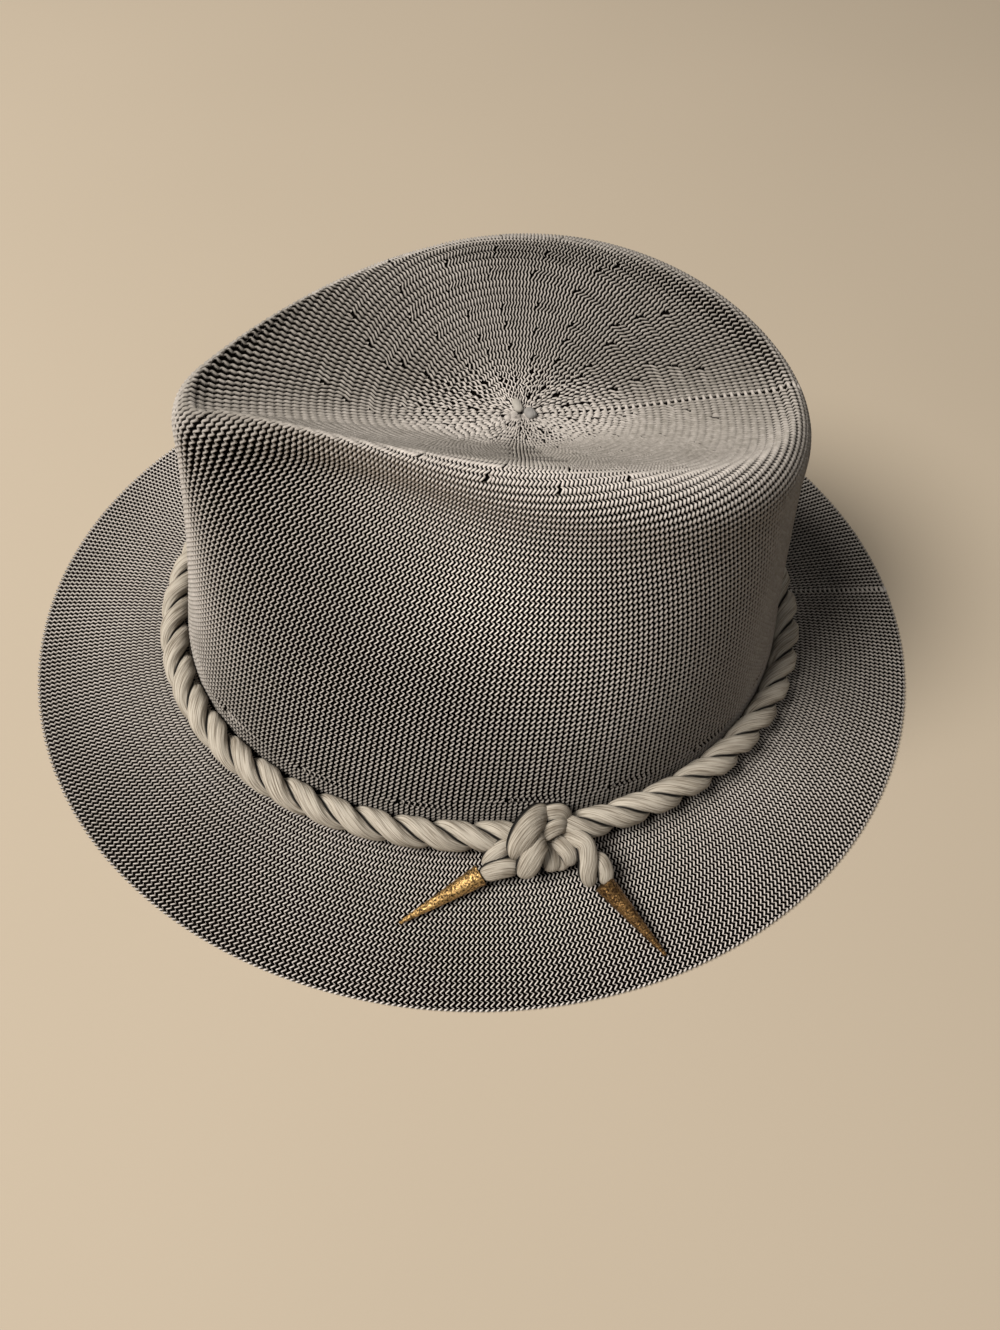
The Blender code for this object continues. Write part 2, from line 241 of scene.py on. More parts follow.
# Lengths of strand in the knot and its tails: half width and half thickness, then points, in millimetres
KNOT_STATIONS = 48
KNOT_SIDES = 70
KNOT_FACING = (0.1, -0.6, 0.8)
KNOT_LOBES = {
    "front": ((4.3, 3.0), (
        (6.6, -85.8, 19.5), (4.4, -87.6, 23.4), (0.8, -91.2, 25.0), (-2.0, -95.0, 22.8),
        (-3.2, -98.2, 17.0),
    )),
    "second": ((4.0, 2.6), (
        (5.0, -92.6, 18.5), (3.0, -95.8, 21.0), (0.6, -99.8, 19.0), (-1.2, -103.2, 13.4),
    )),
    "upper": ((2.9, 2.6), (
        (5.5, -86.8, 20.0), (7.8, -86.6, 22.4), (11.4, -86.4, 22.2), (14.2, -87.4, 18.0),
    )),
    "lower": ((2.8, 2.6), (
        (5.0, -92.6, 18.0), (7.0, -91.8, 20.8), (10.4, -90.4, 20.8), (13.6, -89.0, 17.0),
    )),
    "under": ((3.0, 2.2), (
        (6.2, -93.6, 14.0), (7.2, -96.6, 15.6), (7.8, -99.6, 14.0), (7.8, -101.2, 11.6),
    )),
    "under_back": ((2.6, 2.0), (
        (9.4, -94.0, 13.5), (10.3, -97.1, 14.4), (11.0, -99.7, 12.6), (11.3, -100.8, 11.0),
    )),
    "front_tail_upper": ((3.0, 2.4), (
        (-2.5, -92.9, 14.5), (-5.0, -93.5, 17.0), (-9.0, -95.3, 16.4), (-12.8, -98.0, 12.8),
    )),
    "front_tail_lower": ((3.2, 2.5), (
        (-2.5, -99.6, 13.0), (-5.6, -99.8, 15.0), (-9.8, -100.3, 14.8), (-13.9, -100.7, 12.2),
    )),
    "back_tail_inner": ((2.9, 2.2), (
        (7.6, -92.0, 14.0), (10.2, -94.4, 16.8), (13.0, -97.6, 16.2), (14.0, -100.6, 12.6),
    )),
    "back_tail_middle": ((3.1, 2.6), (
        (11.0, -91.0, 14.5), (14.3, -92.8, 17.8), (18.0, -95.8, 18.4), (18.6, -100.3, 17.0),
        (18.2, -104.4, 14.4), (19.4, -107.4, 11.4),
    )),
    "back_tail_outer": ((2.7, 2.2), (
        (20.4, -98.6, 13.5), (22.7, -100.8, 15.0), (24.0, -104.0, 13.2), (23.5, -107.2, 11.0),
    )),
}

# Brass tips
TAIL_ENDS = {"front": (-13.7, -100.4, 12.0), "back": (23.3, -106.6, 11.0)}
TIP_HEADING = {"front": math.radians(202), "back": math.radians(-53)}
TIP_GAP = 0.3 * MM  # from the end of its tail
TIP_LENGTH = 28.5 * MM
TIP_BASE_RADIUS = 3.4 * MM
TIP_POINT_RADIUS = 0.5 * MM
TIP_RIM = 0.9  # of the radius, at the open end
TIP_ROUNDED = 0.02  # of the length, at the point
TIP_BLUNTNESS = 0.003
TIP_LIFT = 1.3 * MM  # of its axis over the brim at its point
TIP_STATIONS = 180
TIP_SIDES = 64
TIP_SEED = {"front": 5, "back": 9}
TIP_DENTS = 420
DENT_PLACES = (0.01, 0.97)  # of the length
DENT_SIZES = (0.25, 0.6)  # in millimetres
DENT_DEPTHS = (-0.12, 0.3)  # of the size; those below nought stand out
DENT_SHALLOWER = 0.6  # towards the point
DENT_SHORTER = 1.4  # along the tip than round it

# Ends of yarn at the crown's middle: middle in X and Y, half length and half width in millimetres, heading
TIE_ENDS = {
    "tie_pale_end": ((3.7, 2.2), 2.5, 1.35, math.radians(100)),
    "tie_grey_end": ((7.0, -0.6), 2.0, 1.6, math.radians(110)),
}
TIE_LIFT = 0.6 * MM
TIE_FLATNESS = 0.6
TIE_STATIONS = 24
TIE_SIDES = 56


class Socket:
    """A node's output. Arithmetic on it adds Math nodes."""

    def __init__(self, finish, output):
        self.finish = finish
        self.output = output

    def maths(self, operation, *values):
        return self.finish.node("ShaderNodeMath", {"operation": operation}, dict(enumerate(values)))

    def __add__(self, other):
        return self.maths("ADD", self, other)

    def __radd__(self, other):
        return self.maths("ADD", other, self)

    def __sub__(self, other):
        return self.maths("SUBTRACT", self, other)

    def __rsub__(self, other):
        return self.maths("SUBTRACT", other, self)

    def __mul__(self, other):
        return self.maths("MULTIPLY", self, other)

    def __rmul__(self, other):
        return self.maths("MULTIPLY", other, self)

    def sine(self):
        return self.maths("SINE", self)


class Finish:
    """A procedural material in the making."""

    def __init__(self, name):
        self.material = bpy.data.materials.new(name)
        self.material.use_nodes = True
        self.tree = self.material.node_tree
        self.shader = self.tree.nodes["Principled BSDF"]

    def node(self, kind, settings=None, inputs=None, output=0):
        """A node's output; the settings are made first, then the values or links of its sockets."""
        made = self.tree.nodes.new(kind)
        for name, value in (settings or {}).items():
            setattr(made, name, value)
        for place, value in (inputs or {}).items():
            self.feed(made.inputs[place], value)
        return Socket(self, made.outputs[output])

    def feed(self, socket, value):
        if isinstance(value, Socket):
            self.tree.links.new(value.output, socket)
        else:
            socket.default_value = value

    def place(self):
        return self.node("ShaderNodeTexCoord", {}, {}, "Object")

    def noise(self, place, scale, detail):
        inputs = {"Vector": place, "Scale": scale, "Detail": detail}
        return self.node("ShaderNodeTexNoise", {}, inputs)

    def vector(self, name):
        """A vector that the mesh carries."""
        return self.node("ShaderNodeAttribute", {"attribute_name": name}, {}, "Vector")

    def part(self, name, axis):
        """One part of a vector that the mesh carries."""
        return self.node("ShaderNodeSeparateXYZ", {}, {0: self.vector(name)}, axis)

    def stretched(self, place, factors):
        return self.node("ShaderNodeVectorMath", {"operation": "MULTIPLY"}, {0: place, 1: factors})

    def blend(self, share, first, second):
        """Mix of two colours."""
        return self.node("ShaderNodeMix", {"data_type": "RGBA"}, {0: share, 6: first, 7: second}, 2)

    def spread(self, value, low, high):
        """Value brought from low..high to 0..1."""
        return self.node("ShaderNodeMapRange", {}, {"Value": value, "From Min": low, "From Max": high})

    def set(self, **values):
        for name, value in values.items():
            self.feed(self.shader.inputs[name.replace("_", " ")], value)

    def bump(self, height, distance, strength):
        inputs = {"Height": height, "Distance": distance, "Strength": strength}
        self.set(Normal=self.node("ShaderNodeBump", {}, inputs))


def yarn_finish(name, dark, pale, knit=False):
    """Matt yarn. In the knit, its lay tells its tone and how dark the painted shade on its flanks is, down
    between the ribs.
    """
    finish = Finish(name)
    place = finish.place()
    patches = finish.noise(place, scale=18, detail=3)
    flecks = finish.noise(place, scale=700, detail=3)
    share = finish.spread(patches * 0.45 + flecks * 0.55, low=0.3, high=0.7)
    if knit:
        # the tone carries painted light and shade over the knit
        share = share * 0.45 + finish.part("lay", 1) * 0.55
    colour = finish.blend(share, dark, pale)
    if knit:
        # painted shade: below the ridge the flanks go near black, less so where the yarns lie close
        rise = finish.spread(finish.part("lay", 0), low=0.32, high=0.54)
        between = finish.blend(finish.part("lay", 2), SHADE_BETWEEN_YARNS, SHADE_BETWEEN_CLOSE_YARNS)
        colour = finish.blend(rise, between, colour)
    finish.set(Base_Color=colour, Roughness=finish.spread(flecks, low=-2.2, high=1.4))
    finish.set(Specular_IOR_Level=0.0)
    finish.bump(finish.noise(place, scale=5000, detail=2), distance=0.06 * MM, strength=0.6)
    return finish.material


def backing_finish():
    finish = Finish("shadow between the yarns")
    # painted shade: the sheet behind the yarn is near black
    share = finish.noise(finish.place(), scale=900, detail=2)
    finish.set(Base_Color=finish.blend(share, SHADE_BETWEEN_YARNS, BACKING_SHADE_PALE))
    finish.set(Roughness=0.95, Specular_IOR_Level=0.0)
    return finish.material


def inside_finish():
    """Wrong side of the knit: flat purl rows that follow the columns."""
    finish = Finish("inside of the knit")
    around = finish.part("lay", 0)
    along = finish.part("lay", 1)
    zigzag = (along * TURN).sine() * 0.22
    ribs = ((around + zigzag) * TURN).sine()
    purls = (along * (2 * TURN)).sine()
    height = finish.spread(ribs * 0.7 + purls * 0.3, low=-1, high=1)
    fuzz = finish.noise(finish.place(), scale=500, detail=3)
    share = finish.spread(height + fuzz * 0.5, low=0.3, high=1.2)
    finish.set(Base_Color=finish.blend(share, INSIDE_DARK, INSIDE_PALE))
    finish.set(Roughness=0.85, Specular_IOR_Level=0.25)
    finish.bump(height, distance=0.4 * MM, strength=0.9)
    return finish.material


def rope_finish():
    """Pale twisted rope: bundles of fine filaments along each strand, with painted shade down between the
    strands.
    """
    finish = Finish("pale rope")
    lay = finish.vector("lay")
    fine = finish.noise(finish.stretched(lay, (11.0, 12.0, 11.0)), scale=1.0, detail=3)
    broad = finish.noise(finish.stretched(lay, (3.0, 9.0, 3.0)), scale=1.0, detail=2)
    patches = finish.noise(finish.place(), scale=90, detail=2)
    share = finish.spread(fine * 0.7 + broad * 0.15 + patches * 0.15, low=0.38, high=0.54)
    colour = finish.blend(share, ROPE_DARK, ROPE_PALE)
    # painted shade in the creases between the strands and under the knot's strands
    finish.set(Base_Color=finish.blend(finish.part("strand_shade", 0), SHADE_BETWEEN_STRANDS, colour))
    finish.set(Roughness=finish.spread(fine, low=-1.4, high=1.2))
    finish.set(Specular_IOR_Level=0.25)
    finish.bump(fine, distance=0.35 * MM, strength=0.9)
    return finish.material


def brass_finish(name, light):
    finish = Finish(name)
    place = finish.place()
    worn = finish.noise(place, scale=1500, detail=4)
    stains = finish.noise(place, scale=160, detail=3)
    share = finish.spread(worn * 0.75 + stains * 0.25, low=0.42, high=0.58)
    finish.set(Base_Color=finish.blend(share, BRASS_STAIN, light))
    finish.set(Metallic=0.9, Roughness=0.62 - 0.27 * share)
    finish.bump(finish.noise(place, scale=2200, detail=3), distance=0.35 * MM, strength=1.0)
    return finish.material


def floor_finish():
    finish = Finish("pale floor")
    share = finish.noise(finish.place(), scale=3, detail=2)
    finish.set(Base_Color=finish.blend(share, FLOOR_DARK, FLOOR_PALE))
    finish.set(Roughness=0.9, Specular_IOR_Level=0.2)
    return finish.material


def add_piece(name, slot, points, faces, *finishes, looks=None, **vectors):
    """A smooth mesh piece on the hat. looks goes with its faces, and the named vectors with its points."""
    mesh = bpy.data.meshes.new(name)
    mesh.from_pydata(points.tolist(), [], faces)
    for finish in finishes:
        mesh.materials.append(finish)
    if looks is not None:
        mesh.polygons.foreach_set("material_index", looks)
    for vector, values in vectors.items():
        mesh.attributes.new(vector, "FLOAT_VECTOR", "POINT")
        mesh.attributes[vector].data.foreach_set("vector", values.astype("float32").ravel())
    mesh.shade_smooth()
    piece = bpy.data.objects.new(name, mesh)
    bpy.context.scene.collection.objects.link(piece)
    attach(piece, "root")
    return piece


def unit(vectors):
    return vectors / np.maximum(np.linalg.norm(vectors, axis=-1, keepdims=True), 1e-12)


def smooth_step(value):
    value = np.clip(value, 0, 1)
    return value * value * (3 - 2 * value)


def bell(value, spread=1.0):
    """1 where value is 0, fading out evenly below and above."""
    return np.exp(-((value / spread) ** 2))


def catmull(values, place):
    """Rows of values at fractional places, on a smooth curve that runs straight past its ends."""
    ends = np.vstack((2 * values[0] - values[1], values, 2 * values[-1] - values[-2]))
    first = np.clip(np.floor(place).astype(int), 0, len(values) - 2)
    share = (place - first)[..., None]
    before, start, end, after = (ends[first + i] for i in range(4))
    bend = 2 * before - 5 * start + 4 * end - after
    twist = 3 * start - before - 3 * end + after
    return 0.5 * (2 * start + (end - before) * share + bend * share**2 + twist * share**3)


def distance_along(route):
    """Distance of each point of the route from its start."""
    steps = np.linalg.norm(np.diff(route, axis=0), axis=1)
    return np.concatenate(((0,), np.cumsum(steps)))


def ring_faces(rings, sides):
    """Faces between closed rings of points, and one over each end."""
    numbers = np.arange(rings * sides).reshape(rings, sides)
    after = np.roll(numbers, -1, 1)
    quads = np.stack((numbers[:-1], after[:-1], after[1:], numbers[1:]), -1).reshape(-1, 4)
    return quads.tolist() + [numbers[0][::-1].tolist(), numbers[-1].tolist()]


def shell_points(angle, row):
    """Outer surface of the shell in metres. Angle 0 is the back, 90 degrees is +Y, row 0 the brim's edge."""
    angle, row = np.broadcast_arrays(angle, row)
    section = np.moveaxis(catmull(SECTIONS, row), -1, 0)
    length, width, middle, height, back_up, ends_up, taper, left_in, right_in, pinch_at = section
    outward = np.cos(angle)
    x = (middle + length * outward) * MM
    y = width * np.sin(angle) * (1 + taper * outward) * MM
    z = (height + back_up * outward + ends_up * np.cos(2 * angle)) * MM
    pushed_in = np.where(np.sin(angle) < 0, left_in, right_in) * MM
    from_front = np.abs(np.remainder(angle, TURN) - math.pi)
    pinch = bell(from_front - np.radians(pinch_at), PINCH_SPREAD)
    y = y - pushed_in * pinch * np.clip(y / PINCH_FADE, -1, 1)
    return np.stack((x, y, z), -1)


def shell_normals(angles, row):
    """The way out of the shell at these angles of a ring."""
    around = shell_points(angles + SLOPE_STEP, row) - shell_points(angles - SLOPE_STEP, row)
    inward = shell_points(angles, row + SLOPE_STEP) - shell_points(angles, row - SLOPE_STEP)
    return unit(np.cross(around, inward))


def column_angles(row, shares):
    """Angles where the lines at these shares of a turn cross the ring at this row."""
    angles = np.linspace(0, TURN, LINES_ROUND + 1)
    ring = shell_points(angles, row)
    steps = np.linalg.norm(np.diff(ring, axis=0), axis=1)
    length = np.concatenate(((0,), np.cumsum(steps))) / steps.sum()
    turned = np.unwrap(np.arctan2(ring[:, 1], ring[:, 0] - CROWN_MIDDLE)) / TURN
    first, second = (smooth_step((row - start) / FAN_ROWS) for start in (EVEN_ROW, FAN_ROW))
    fan = FAN_SHARES[0] * first + FAN_SHARES[1] * second
    return np.interp(shares, (1 - fan) * length + fan * (turned - turned[0]), angles)


class Field:
    """A knitted surface looked up by share of a turn and share of the way along its columns."""

    def __init__(self, rings, rows):
        steps = np.linalg.norm(np.diff(rings, axis=0), axis=2)
        gone = np.vstack((np.zeros(LINES_ROUND), np.cumsum(steps, axis=0)))
        self.length = gone[-1]
        shares = np.linspace(0, 1, LINES_ALONG)
        self.points = np.empty((LINES_ALONG, LINES_ROUND, 3))
        self.rows = np.empty((LINES_ALONG, LINES_ROUND, 1))
        for line in range(LINES_ROUND):
            way = gone[:, line] / gone[-1, line]
            self.rows[:, line, 0] = np.interp(shares, way, rows)
            for axis in range(3):
                self.points[:, line, axis] = np.interp(shares, way, rings[:, line, axis])
        around = np.roll(self.points, -1, 1) - np.roll(self.points, 1, 1)
        onward = np.gradient(self.points, axis=0)
        self.normals = unit(np.cross(around, onward))
        self.across = unit(around)
        self.turn_length = np.linalg.norm(around, axis=2, keepdims=True) * LINES_ROUND / 2

    def at(self, grid, turn, way):
        """Value of one of the grids, between its lines."""
        turn = np.remainder(turn, 1) * LINES_ROUND
        way = np.clip(way, 0, 1) * (LINES_ALONG - 1)
        left = np.floor(turn).astype(int) % LINES_ROUND
        below = np.minimum(np.floor(way).astype(int), LINES_ALONG - 2)
        right = (left + 1) % LINES_ROUND
        round_share = (turn - np.floor(turn))[..., None]
        way_share = (way - below)[..., None]
        low = grid[below, left] * (1 - round_share) + grid[below, right] * round_share
        high = grid[below + 1, left] * (1 - round_share) + grid[below + 1, right] * round_share
        return low * (1 - way_share) + high * way_share

    def length_at(self, turn):
        lines = np.arange(LINES_ROUND + 1) / LINES_ROUND
        return np.interp(np.remainder(turn, 1), lines, np.append(self.length, self.length[0]))


def rings_at(rows):
    shares = np.arange(LINES_ROUND) / LINES_ROUND
    return np.stack([shell_points(column_angles(row, shares), row) for row in rows])


def edge_rings():
    """Rounded edge of the brim, from the underside up."""
    shares = np.arange(LINES_ROUND) / LINES_ROUND
    rings = []
    for row, height in BRIM_EDGE:
        ring = shell_points(column_angles(0, shares), row)
        ring[:, 2] = height * MM
        rings.append(ring)
    return np.stack(rings)


class Zones:
    """Which zones of the hat the stitches lie in, as shares from 0 to 1."""

    def __init__(self, row, turn):
        self.row = row
        self.turn = turn
        self.ends = np.cos(turn * TURN) ** 2
        self.at_back = (np.cos(turn * TURN) > 0).astype(int)
        self.front = (1 - self.at_back) * self.ends
        self.left = smooth_step(0.5 - LEFT_SHARPNESS * np.sin(turn * TURN))
        self.top = smooth_step((row - TOP_ROW + FRONT_TOP_ROWS * self.front) / TOP_ROWS)
        self.inner = smooth_step((row - INNER_ROW) / INNER_ROWS)
        self.outer = 1 - self.inner


def yarn_tone_and_painted_light(zones):
    """How pale the yarn is, with painted light and shade on it."""
    row, ends, left = zones.row, zones.ends, zones.left
    # painted shade on the roll and all the way inside it, starting lower on the right side
    tone = 1 - smooth_step((row - ROLL_ROW + RIGHT_SHADE_LOWER_ROWS * (1 - left)) / ROLL_SHADE_ROWS)
    # painted shade at the front and at the back
    tone = tone * (1 - np.take(ENDS_PAINTED_SHADE, zones.at_back) * ends)
    # painted shade beside the rope
    tone = tone * (1 - FOOT_PAINTED_SHADE * bell(row - FOOT_ROW, FOOT_ROWS))
    # painted light on the right side inside the crest, painted shade on its left side and at its ends
    tone = tone + (TOP_PAINTED_LIGHT * (1 - left) * (1 - ends) - TOP_PAINTED_SHADE * np.maximum(left, ends)) * zones.top
    # painted highlight: a paler patch on the left side of the wall
    rows_away = (row - HIGHLIGHT_ROW) / HIGHLIGHT_ROWS
    turns_away = (np.remainder(zones.turn, 1) - HIGHLIGHT_TURN) / HIGHLIGHT_TURNS
    tone = tone + HIGHLIGHT_TONE * np.exp(-(rows_away**2 + turns_away**2))
    return tone + INNER_TONE * zones.inner


def yarn_width(zones):
    width = YARN_WIDTH * (1 - LOW_WALL_THINNER * bell(zones.row - LOW_WALL_ROW, LOW_WALL_ROWS))
    high_front = zones.front * smooth_step((zones.row - HIGH_FRONT_ROW) / HIGH_FRONT_ROWS)
    return width * (1 + TOP_WIDER * np.maximum(zones.top, high_front))


def yarn_fullness(fullness, fuller, uneven, way, zones):
    """How full the yarn is, with its links filled out at the front, at the back and inside the crest."""
    fuller = np.maximum(np.take(fuller, zones.at_back) * zones.ends, TOP_FULLNESS * zones.top)
    fullness = fullness + (1 - fullness) * (fuller * zones.outer) + uneven * INNER_UNEVEN_FULLNESS
    roll = zones.left * (1 - zones.at_back * zones.ends) * bell(zones.row - ROLL_ROW)
    fullness = fullness + ROLL_FULLNESS * roll
    closing = smooth_step((way - CLOSING_WAY) / (1 - CLOSING_WAY))
    return fullness + (CLOSED_FULLNESS - fullness) * closing


def ribs(name, field, turn, stitches, pitch, live, fuller, finish):
    """Zigzag ribs of yarn, three points wide: a foot, the ridge and a foot.

    turn, pitch and live have a row for each column, and live tells which of its stations are there."""
    way, swing, fullness = stitches
    way = way + 0 * turn
    room = field.at(field.turn_length, turn, way)[..., 0]
    space = room * pitch
    zones = Zones(field.at(field.rows, turn, way)[..., 0], turn)
    random = np.random.default_rng(7)
    uneven = random.uniform(-INNER_UNEVEN, INNER_UNEVEN, turn.shape) * zones.inner
    way = way + random.uniform(-0.5, 0.5, (len(turn), 1)) / CROWN_STITCHES * zones.inner
    limit = ZIGZAG_LIMIT + (ZIGZAG_LIMIT_ENDS - ZIGZAG_LIMIT) * zones.ends
    reach = np.minimum(ZIGZAG_REACH, limit * space)
    sideways = (swing + uneven) * reach * (1 + (TOP_SWING - 1) * zones.top * zones.outer)
    from_seam = (np.remainder(turn + 0.5, 1) - 0.5) * room
    sideways = sideways + SEAM_OPENING * np.sign(from_seam) * np.exp(-np.abs(from_seam) / SEAM_REACH)
    turn = turn + sideways / room
    fullness = yarn_fullness(fullness, fuller, uneven, way, zones)
    middle = field.at(field.points, turn, way)
    normal = field.at(field.normals, turn, way)
    half = 0.5 * np.minimum(yarn_width(zones), YARN_WIDTH_LIMIT * space) * fullness
    half = half[..., None] * field.at(field.across, turn, way)
    rise = (YARN_TOP - LINK_DROP * (1 - fullness))[..., None] * normal
    foot = YARN_FOOT * normal
    points = np.stack((middle - half + foot, middle + rise, middle + half + foot), 2)
    # lay: the ridge of each rib, whose flanks get painted shade, then the yarn's tone with its painted light
    # and shade, then how close the yarns lie, which lightens the painted shade between them
    lay = np.zeros_like(points)
    lay[..., 1, 0] = 1
    lay[..., 1] = yarn_tone_and_painted_light(zones)[..., None]
    lay[..., 2] = (np.maximum(zones.ends, zones.top) * zones.outer)[..., None]
    numbers = np.arange(points.size // 3).reshape(points.shape[:3])
    here, ahead = numbers[:, :-1], numbers[:, 1:]
    quads = np.concatenate([
        np.stack((here[..., k], here[..., k + 1], ahead[..., k + 1], ahead[..., k]), -1).reshape(-1, 4)
        for k in (0, 1)
    ])
    live = np.repeat(live.ravel(), 3)
    quads = quads[live[quads].all(axis=1)]
    kept, quads = np.unique(quads, return_inverse=True)
    points = points.reshape(-1, 3)[kept]
    lay = lay.reshape(-1, 3)[kept]
    return add_piece(name, "grey_knit", points, quads.reshape(-1, 4).tolist(), finish, lay=lay)


def stitches_along(count, crowding=0.0):
    """Stations of a column: their share of its length, which way the yarn swings, and how full it is.

    Crowding packs the stitches closer at the start of the column and wider at its end."""
    places = np.array([(n + phase, swing, full) for n in range(count) for phase, swing, full in STITCH])
    way = places[:, 0] / count
    return way - crowding * way * (1 - way), places[:, 1], places[:, 2]


def brim_ribs(field, finish):
    count = GORES * BRIM_COLUMNS
    stitches = stitches_along(BRIM_STITCHES, BRIM_CROWDING)
    for name, first in (("knit_brim_far", 0), ("knit_brim_near", count // 2)):
        turn = (first + np.arange(count // 2) + 0.5)[:, None] / count + 0 * stitches[0]
        ribs(name, field, turn, stitches, 1 / count, turn > 0, BRIM_FULLER, finish)


def mark_distances(field, turn):
    """Distance of each ring of marks from the crown's middle, from the middle outwards."""
    rings = [MARK_START + MARK_STEP * (ring + 1) + 0 * turn for ring in range(MARK_RINGS - 1)]
    return np.stack([*rings, field.length_at(turn) - FIRST_MARK_WAY])


def crown_column(number):
    """Stages of one column of a gore from the foot of the crown inwards, and where it ends.

    A stage is its place in the gore and how many columns the gore has there. The end is the ring of marks
    where the column ends and which one of the pair it is, or ring -1 if it runs to the crown's middle."""
    stages = [((number + 0.5) / CROWN_COLUMNS, CROWN_COLUMNS)]
    place = number
    for ring in reversed(range(MARK_RINGS)):
        columns = 2 * (ring + 2)
        first = min(int(MARK_TOPS[ring] * columns), columns - 2)
        if place in (first, first + 1):
            return stages, ring, place - first
        if place > first + 1:
            place -= 2
        stages.append(((place + 0.5) / (columns - 2), columns - 2))
    return stages, -1, 0


def place_crown_column(field, number, way, astray):
    """Turn and pitch along one column in every gore, and which of its stations are there."""
    stages, ending, side = crown_column(number)
    gores = np.arange(GORES)[:, None]
    turn = (gores + stages[0][0]) / GORES + 0 * way
    for _ in range(2):  # the second time with the marks found where the column then runs
        left = field.length_at(turn) * (1 - way)
        marks = mark_distances(field, turn) + astray
        placed = stages[0][0] + 0 * turn
        pitch = 1 / (GORES * stages[0][1]) + 0 * turn
        for step, (share, columns) in enumerate(stages[1:]):
            ring = MARK_RINGS - 1 - step
            into = smooth_step((marks[ring] + MARK_REACH - left) / (2 * MARK_REACH))
            placed += (share - stages[step][0]) * into
            pitch += (1 / (GORES * columns) - 1 / (GORES * stages[step][1])) * into
        turn = (gores + placed) / GORES
    end = YARN_END if ending < 0 else marks[ending] + MARK_STAGGER * (1 - 2 * side)
    return turn, pitch, left > end


def crown_ribs(field, finish):
    stitches = stitches_along(CROWN_STITCHES)
    random = np.random.default_rng(3)
    astray = random.uniform(-MARK_ASTRAY, MARK_ASTRAY, (MARK_RINGS, GORES, 1))
    placed = [place_crown_column(field, number, stitches[0], astray) for number in range(CROWN_COLUMNS)]
    turn, pitch, live = (np.concatenate(parts) for parts in zip(*placed))
    third = np.floor(3 * np.mean(turn, axis=1))
    for number, name in enumerate(("knit_crown_right", "knit_crown_front", "knit_crown_left")):
        chosen = third == number
        columns = (turn[chosen], stitches, pitch[chosen], live[chosen])
        ribs(name, field, *columns, CROWN_FULLER, finish)


def seam(name, field, first, last, finish):
    """Short bars of yarn across the seam at the back, with open holes between them."""
    length = field.length_at(np.zeros(1))[0]
    ways = np.arange(first * length, last * length, SEAM_STEP) / length
    grids = (field.points, field.normals, field.across)
    middle, normal, across = (field.at(grid, 0 * ways, ways) for grid in grids)
    steps = np.linspace(-1, 1, SEAM_BAR_STATIONS)[:, None]
    wide = np.full(SEAM_BAR_STATIONS, SEAM_BAR_RADIUS)
    points, faces, lays = [], [], []
    for place, out, side in zip(middle, normal, across):
        route = place - SEAM_BAR_DEPTH * out + steps * SEAM_BAR_REACH * side
        facing = np.tile(out, (SEAM_BAR_STATIONS, 1))
        bar, bar_faces, _ = tube(route, facing, wide, wide, SEAM_BAR_SIDES)
        faces += [[len(points) * len(bar) + corner for corner in face] for face in bar_faces]
        points.append(bar)
        lays.append(np.tile((1, SEAM_TONE, 0), (len(bar), 1)))
    add_piece(name, "grey_knit", np.concatenate(points), faces, finish, lay=np.concatenate(lays))


def backing_side(angles, depth, lowest):
    """Rings of one side of the backing, this deep behind the shell's surface."""
    rings = [shell_points(angles, row) - depth * shell_normals(angles, row) for row in BACKING_ROWS]
    for ring in rings:
        ring[:, 2] = np.maximum(ring[:, 2], lowest)
    return rings


def shell_backing(outer_finish, inner_finish):
    """The closed sheet behind the yarn: painted shade outside, purl side inside."""
    angles = TURN * np.arange(BACKING_COLUMNS) / BACKING_COLUMNS
    outer = backing_side(angles, BACKING_DEPTH, BACKING_LOWEST)
    inner = backing_side(angles, INSIDE_DEPTH, INSIDE_LOWEST)
    rings = inner[::-1] + outer
    faces = ring_faces(len(rings), BACKING_COLUMNS)
    inside = len(inner) * BACKING_COLUMNS
    looks = np.repeat((1, 0, 1, 0), (inside, len(faces) - 2 - inside, 1, 1))
    rows = np.concatenate((BACKING_ROWS[::-1], BACKING_ROWS))
    lay = np.zeros((len(rings), BACKING_COLUMNS, 3))
    lay[..., 0] = np.arange(BACKING_COLUMNS) * (PURL_COLUMNS / BACKING_COLUMNS)
    lay[..., 1] = rows[:, None] * PURLS_PER_ROW
    shape = (np.concatenate(rings), faces, outer_finish, inner_finish)
    return add_piece("knit_shell_back", "grey_knit", *shape, looks=looks, lay=lay.reshape(-1, 3))


